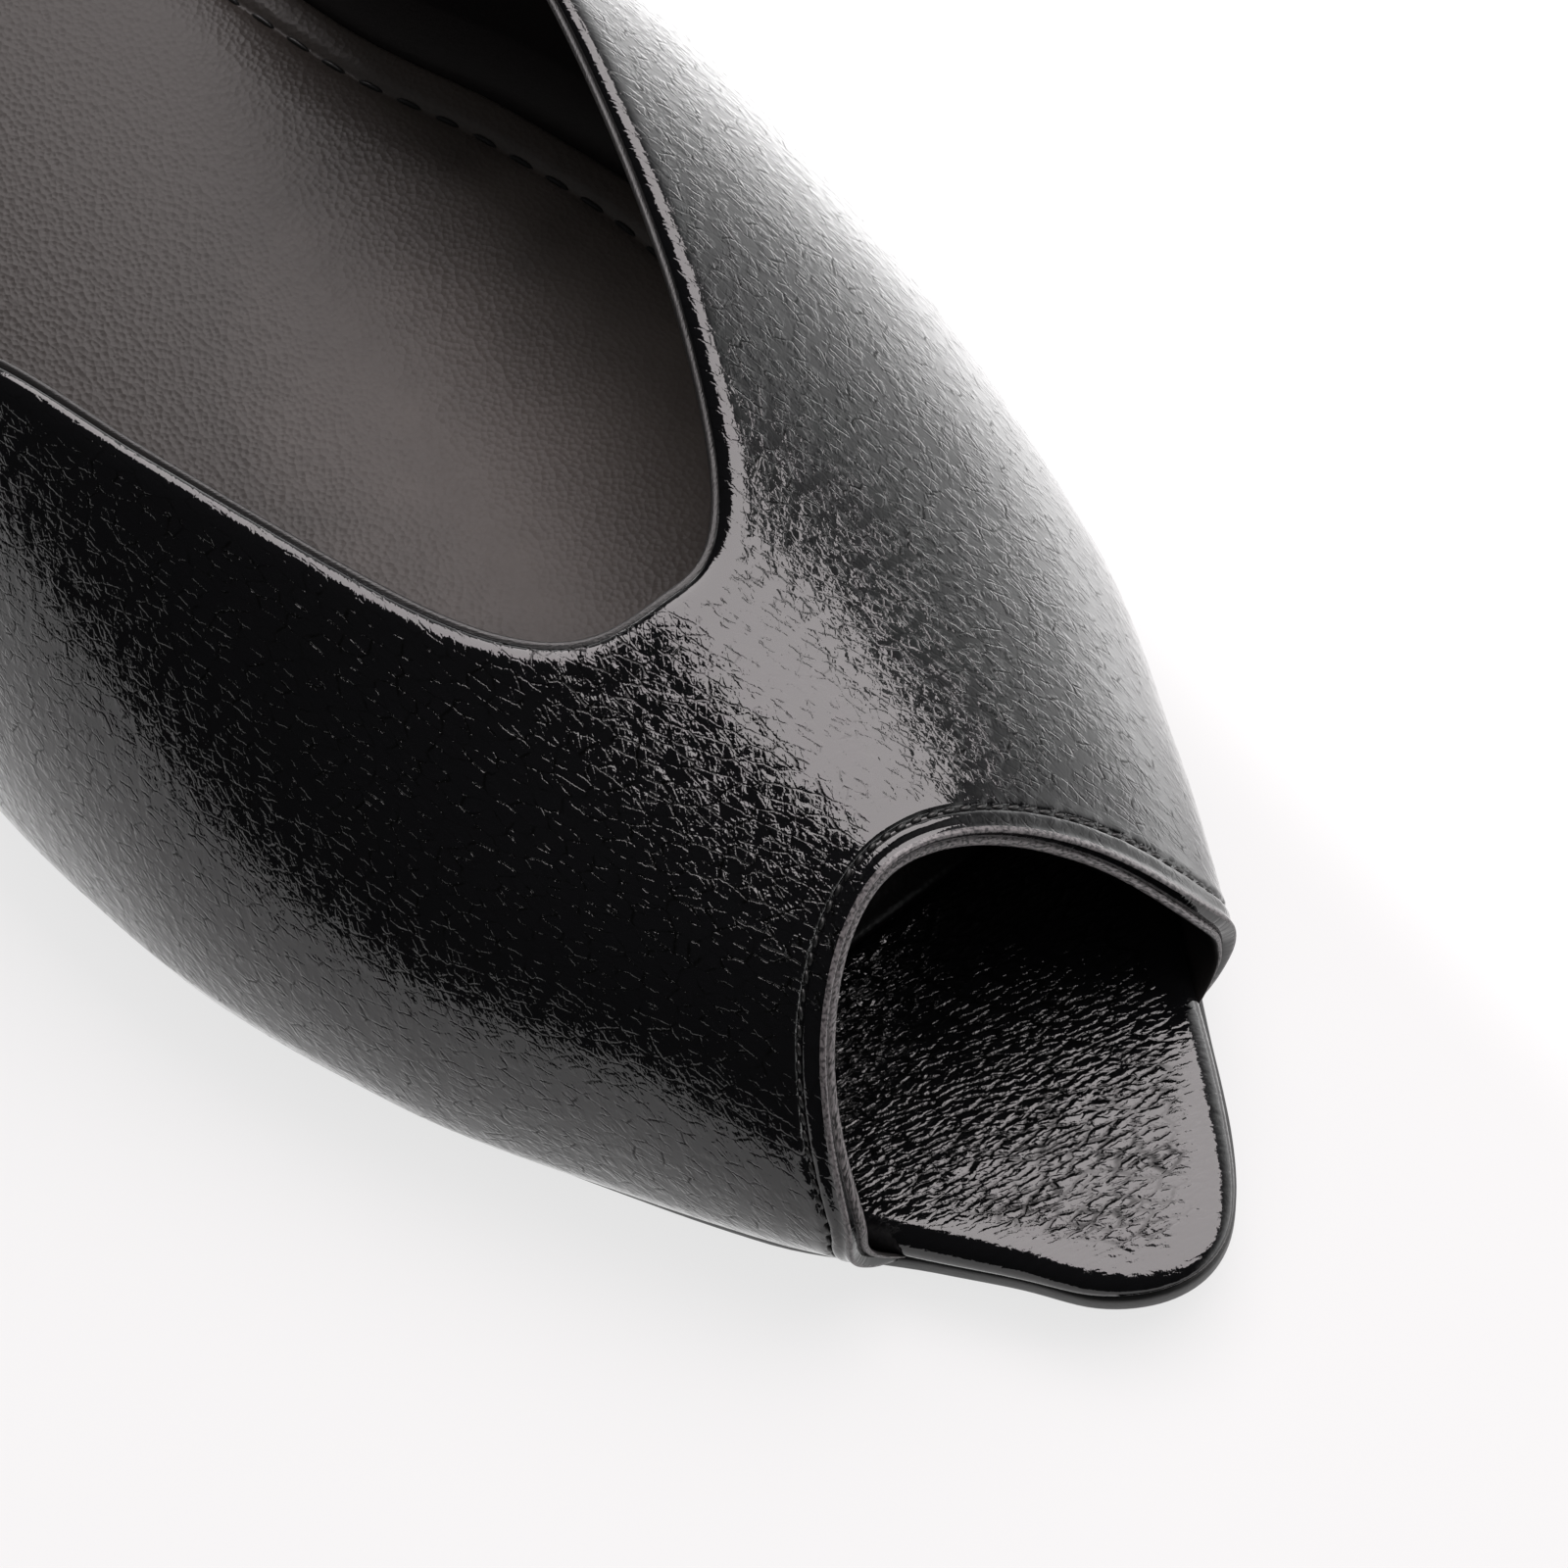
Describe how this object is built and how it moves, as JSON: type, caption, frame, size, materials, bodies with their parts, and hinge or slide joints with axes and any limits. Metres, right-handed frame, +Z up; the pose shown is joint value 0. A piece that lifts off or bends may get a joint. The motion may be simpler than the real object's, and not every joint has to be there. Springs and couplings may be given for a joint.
{
  "type": "mule",
  "caption": "Low-heeled leather mule with a peep toe, an open back, a deep rounded throat and a padded sock lining.",
  "frame": {"origin": "middle of the shoe's outline, on the floor that it stands on", "axes": "+Z up, the toe points along -Y and the heel along +Y, +X towards the wearer's other foot (the medial side)"},
  "size_m": [0.0906, 0.258, 0.0522],
  "materials": {
    "upper_leather": "black glossy grained leather",
    "insole_leather": "black glossy grained leather, wrapped",
    "sock_leather": "dark brown-grey soft leather",
    "outsole_unit": "black satin unit sole",
    "heel_cover": "black glossy leather cover",
    "top_piece_rubber": "black matte rubber"
  },
  "bodies": {
    "root": {"upper": "upper_leather", "insole": "insole_leather", "sock_lining": "sock_leather", "outsole": "outsole_unit", "heel": "heel_cover", "top_piece": "top_piece_rubber"}
  },
  "joints": []
}
